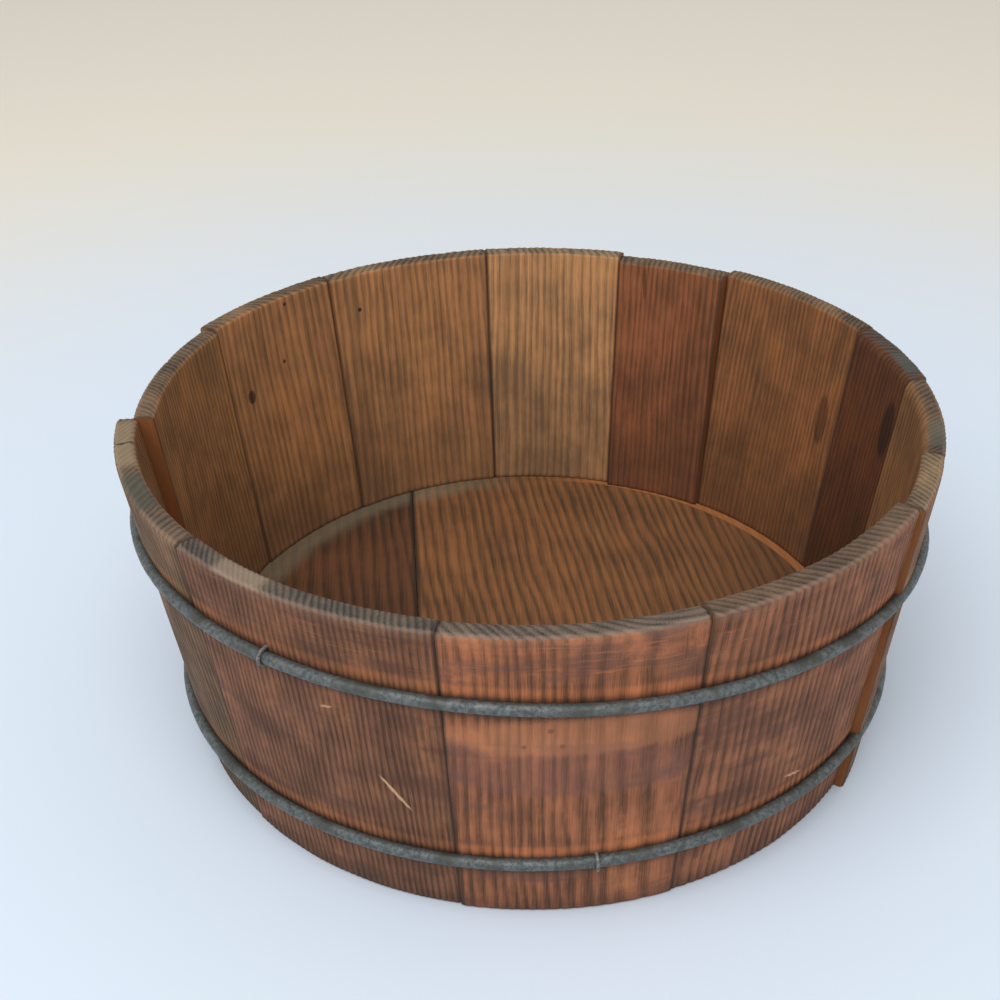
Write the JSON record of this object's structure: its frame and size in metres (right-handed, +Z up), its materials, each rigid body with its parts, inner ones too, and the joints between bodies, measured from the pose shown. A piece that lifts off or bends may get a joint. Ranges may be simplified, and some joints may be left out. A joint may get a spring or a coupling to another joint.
{
  "type": "wooden bucket",
  "caption": "Low round wooden wash bucket of tapered staves with a boarded bottom, wire hoops and staples.",
  "frame": {"origin": "on the ground under the middle of the bucket, on its axis", "axes": "+Z up along the axis of the bucket, -Y to the front that the picture shows, +X to its right"},
  "size_m": [0.3805, 0.3791, 0.1606],
  "materials": {
    "stave_wood": "old red-brown stained softwood, raised grain, dull sheen",
    "bottom_wood": "old brown softwood, ridged grain, dark stains",
    "pin_wood": "plain dry wood",
    "hoop_wire": "weathered galvanised wire, grey to grey-green, dull",
    "staple_wire": "dark tarnished steel wire"
  },
  "bodies": {
    "root": {"stave_01": "stave_wood", "stave_02": "stave_wood", "stave_03": "stave_wood", "stave_04": "stave_wood", "stave_05": "stave_wood", "stave_06": "stave_wood", "stave_07": "stave_wood", "stave_08": "stave_wood", "stave_09": "stave_wood", "stave_10": "stave_wood", "stave_11": "stave_wood", "stave_12": "stave_wood", "stave_13": "stave_wood", "bottom_board_wide": "bottom_wood", "bottom_board_narrow": "bottom_wood", "bottom_pins": "pin_wood", "upper_hoop": "hoop_wire", "lower_hoop": "hoop_wire", "upper_hoop_staples": "staple_wire", "lower_hoop_staples": "staple_wire"}
  },
  "joints": []
}
